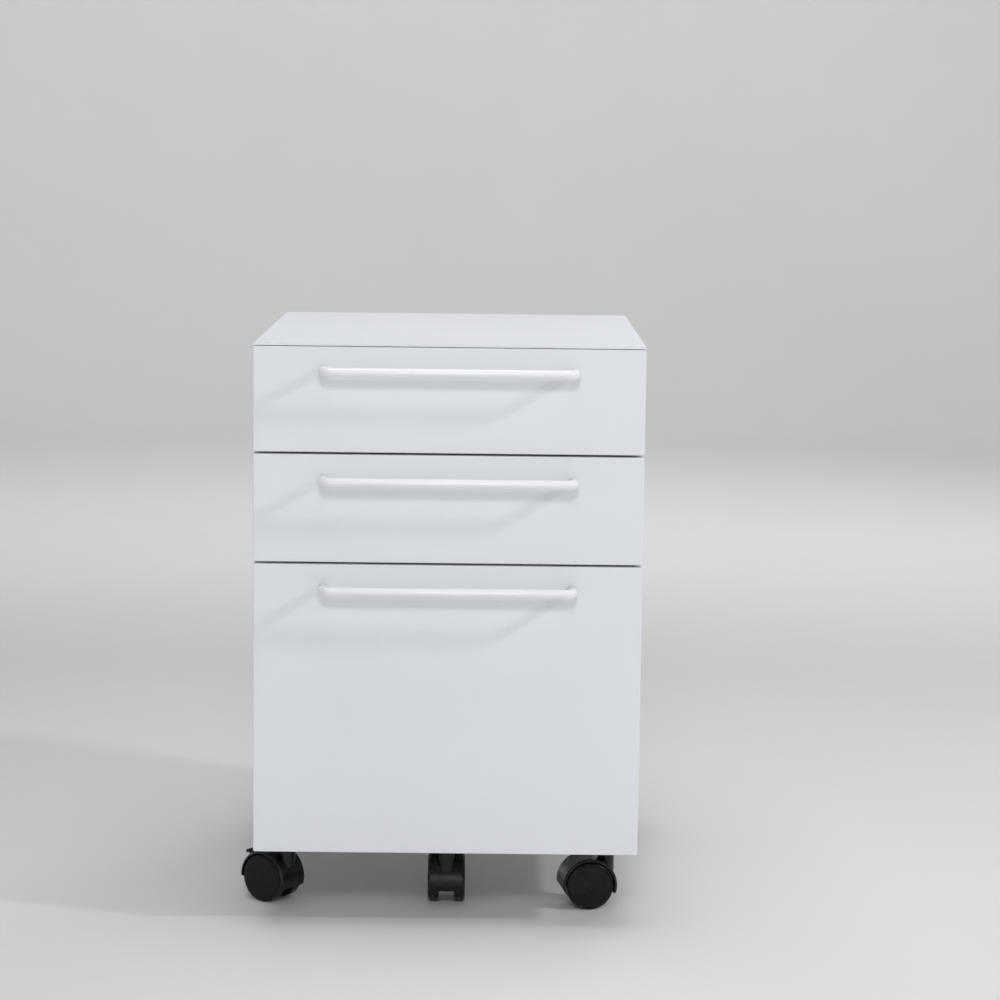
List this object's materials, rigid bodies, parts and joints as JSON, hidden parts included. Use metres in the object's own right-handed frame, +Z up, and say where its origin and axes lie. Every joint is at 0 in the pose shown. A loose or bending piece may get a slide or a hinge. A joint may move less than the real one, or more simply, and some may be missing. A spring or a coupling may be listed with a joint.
{
  "type": "rolling pedestal cabinet",
  "caption": "Low steel pedestal cabinet on casters, with box drawers over a file drawer, bow handles and a centre caster that rolls out with the file drawer.",
  "frame": {"origin": "on the floor, under the middle of the overall box, handles included", "axes": "+Z up; the drawers open towards -Y; +X is the right-hand side seen from the front"},
  "size_m": [0.4332, 0.483, 0.595],
  "materials": {
    "white_coat": "satin powder coat",
    "handle_white": "gloss powder coat",
    "zinc_steel": "zinc plated",
    "hood_black": "moulded nylon",
    "wheel_black": "moulded nylon"
  },
  "bodies": {
    "root": {"left_side_panel": "white_coat", "right_side_panel": "white_coat", "top_panel": "white_coat", "back_panel": "white_coat", "base_pan": "white_coat", "left_caster_rail": "white_coat", "right_caster_rail": "white_coat", "top_drawer_left_outer_rail": "zinc_steel", "top_drawer_right_outer_rail": "zinc_steel", "middle_drawer_left_outer_rail": "zinc_steel", "middle_drawer_right_outer_rail": "zinc_steel", "file_drawer_left_outer_rail": "zinc_steel", "file_drawer_right_outer_rail": "zinc_steel", "front_left_caster_plate": "zinc_steel", "front_right_caster_plate": "zinc_steel", "rear_left_caster_plate": "zinc_steel", "rear_right_caster_plate": "zinc_steel"},
    "top_drawer": {"top_drawer_front": "white_coat", "top_drawer_tray": "white_coat", "top_drawer_handle": "handle_white", "top_drawer_left_inner_rail": "zinc_steel", "top_drawer_right_inner_rail": "zinc_steel"},
    "middle_drawer": {"middle_drawer_front": "white_coat", "middle_drawer_tray": "white_coat", "middle_drawer_handle": "handle_white", "middle_drawer_left_inner_rail": "zinc_steel", "middle_drawer_right_inner_rail": "zinc_steel"},
    "file_drawer": {"file_drawer_front": "white_coat", "file_drawer_tray": "white_coat", "file_drawer_handle": "handle_white", "file_drawer_left_inner_rail": "zinc_steel", "file_drawer_right_inner_rail": "zinc_steel", "centre_caster_bracket": "white_coat", "centre_caster_plate": "zinc_steel"},
    "file_slide_middle": {"file_drawer_left_middle_rail": "zinc_steel", "file_drawer_right_middle_rail": "zinc_steel"},
    "front_left_caster_swivel": {"front_left_caster_hood": "hood_black", "front_left_caster_axle": "zinc_steel"},
    "front_left_caster_left_wheel": {"front_left_caster_left_wheel": "wheel_black"},
    "front_left_caster_right_wheel": {"front_left_caster_right_wheel": "wheel_black"},
    "front_left_caster_brake": {"front_left_caster_brake_lever": "hood_black"},
    "front_right_caster_swivel": {"front_right_caster_hood": "hood_black", "front_right_caster_axle": "zinc_steel"},
    "front_right_caster_left_wheel": {"front_right_caster_left_wheel": "wheel_black"},
    "front_right_caster_right_wheel": {"front_right_caster_right_wheel": "wheel_black"},
    "rear_left_caster_swivel": {"rear_left_caster_hood": "hood_black", "rear_left_caster_axle": "zinc_steel"},
    "rear_left_caster_left_wheel": {"rear_left_caster_left_wheel": "wheel_black"},
    "rear_left_caster_right_wheel": {"rear_left_caster_right_wheel": "wheel_black"},
    "rear_right_caster_swivel": {"rear_right_caster_hood": "hood_black", "rear_right_caster_axle": "zinc_steel"},
    "rear_right_caster_left_wheel": {"rear_right_caster_left_wheel": "wheel_black"},
    "rear_right_caster_right_wheel": {"rear_right_caster_right_wheel": "wheel_black"},
    "rear_right_caster_brake": {"rear_right_caster_brake_lever": "hood_black"},
    "centre_caster_swivel": {"centre_caster_hood": "hood_black", "centre_caster_axle": "zinc_steel"},
    "centre_caster_left_wheel": {"centre_caster_left_wheel": "wheel_black"},
    "centre_caster_right_wheel": {"centre_caster_right_wheel": "wheel_black"}
  },
  "joints": [
    {"name": "top_drawer_slide", "type": "slide", "parent": "root", "child": "top_drawer", "axis": [0, -1, 0], "range_m": [0, 0.3]},
    {"name": "middle_drawer_slide", "type": "slide", "parent": "root", "child": "middle_drawer", "axis": [0, -1, 0], "range_m": [0, 0.3]},
    {"name": "file_drawer_slide", "type": "slide", "parent": "root", "child": "file_drawer", "axis": [0, -1, 0], "range_m": [0, 0.39]},
    {"name": "file_slide_middle_slide", "type": "slide", "parent": "root", "child": "file_slide_middle", "axis": [0, -1, 0], "range_m": [0, 0.195]},
    {"name": "front_left_caster_swivel_turn", "type": "hinge", "parent": "root", "child": "front_left_caster_swivel", "pos_m": [-0.167, -0.1125, 0.06], "axis": [0, 0, 1], "continuous": true},
    {"name": "front_left_caster_left_wheel_spin", "type": "hinge", "parent": "front_left_caster_swivel", "child": "front_left_caster_left_wheel", "pos_m": [-0.18318, -0.10074, 0.02488], "axis": [-0.5878, -0.809, 0], "continuous": true},
    {"name": "front_left_caster_right_wheel_spin", "type": "hinge", "parent": "front_left_caster_swivel", "child": "front_left_caster_right_wheel", "pos_m": [-0.18318, -0.10074, 0.02488], "axis": [-0.5878, -0.809, 0], "continuous": true},
    {"name": "front_left_caster_brake_press", "type": "hinge", "parent": "front_left_caster_swivel", "child": "front_left_caster_brake", "pos_m": [-0.1937, -0.0931, 0.03588], "axis": [-0.5878, -0.809, 0], "range_deg": [-15, 0]},
    {"name": "front_right_caster_swivel_turn", "type": "hinge", "parent": "root", "child": "front_right_caster_swivel", "pos_m": [0.167, -0.1125, 0.06], "axis": [0, 0, 1], "continuous": true},
    {"name": "front_right_caster_left_wheel_spin", "type": "hinge", "parent": "front_right_caster_swivel", "child": "front_right_caster_left_wheel", "pos_m": [0.1473, -0.11597, 0.02488], "axis": [0.1736, -0.9848, 0], "continuous": true},
    {"name": "front_right_caster_right_wheel_spin", "type": "hinge", "parent": "front_right_caster_swivel", "child": "front_right_caster_right_wheel", "pos_m": [0.1473, -0.11597, 0.02488], "axis": [0.1736, -0.9848, 0], "continuous": true},
    {"name": "rear_left_caster_swivel_turn", "type": "hinge", "parent": "root", "child": "rear_left_caster_swivel", "pos_m": [-0.167, 0.1715, 0.06], "axis": [0, 0, 1], "continuous": true},
    {"name": "rear_left_caster_left_wheel_spin", "type": "hinge", "parent": "rear_left_caster_swivel", "child": "rear_left_caster_left_wheel", "pos_m": [-0.17639, 0.18916, 0.02488], "axis": [-0.8829, -0.4695, 0], "continuous": true},
    {"name": "rear_left_caster_right_wheel_spin", "type": "hinge", "parent": "rear_left_caster_swivel", "child": "rear_left_caster_right_wheel", "pos_m": [-0.17639, 0.18916, 0.02488], "axis": [-0.8829, -0.4695, 0], "continuous": true},
    {"name": "rear_right_caster_swivel_turn", "type": "hinge", "parent": "root", "child": "rear_right_caster_swivel", "pos_m": [0.167, 0.1715, 0.06], "axis": [0, 0, 1], "continuous": true},
    {"name": "rear_right_caster_left_wheel_spin", "type": "hinge", "parent": "rear_right_caster_swivel", "child": "rear_right_caster_left_wheel", "pos_m": [0.18318, 0.18326, 0.02488], "axis": [-0.5878, 0.809, 0], "continuous": true},
    {"name": "rear_right_caster_right_wheel_spin", "type": "hinge", "parent": "rear_right_caster_swivel", "child": "rear_right_caster_right_wheel", "pos_m": [0.18318, 0.18326, 0.02488], "axis": [-0.5878, 0.809, 0], "continuous": true},
    {"name": "rear_right_caster_brake_press", "type": "hinge", "parent": "rear_right_caster_swivel", "child": "rear_right_caster_brake", "pos_m": [0.1937, 0.1909, 0.03588], "axis": [-0.5878, 0.809, 0], "range_deg": [-15, 0]},
    {"name": "centre_caster_swivel_turn", "type": "hinge", "parent": "file_drawer", "child": "centre_caster_swivel", "pos_m": [0, -0.1205, 0.06], "axis": [0, 0, 1], "continuous": true},
    {"name": "centre_caster_left_wheel_spin", "type": "hinge", "parent": "centre_caster_swivel", "child": "centre_caster_left_wheel", "pos_m": [0, -0.1005, 0.02488], "axis": [-1, 0, 0], "continuous": true},
    {"name": "centre_caster_right_wheel_spin", "type": "hinge", "parent": "centre_caster_swivel", "child": "centre_caster_right_wheel", "pos_m": [0, -0.1005, 0.02488], "axis": [-1, 0, 0], "continuous": true}
  ],
  "couplings": [
    {"joint": "file_slide_middle_slide", "follows": "file_drawer_slide", "ratio": 0.5}
  ]
}
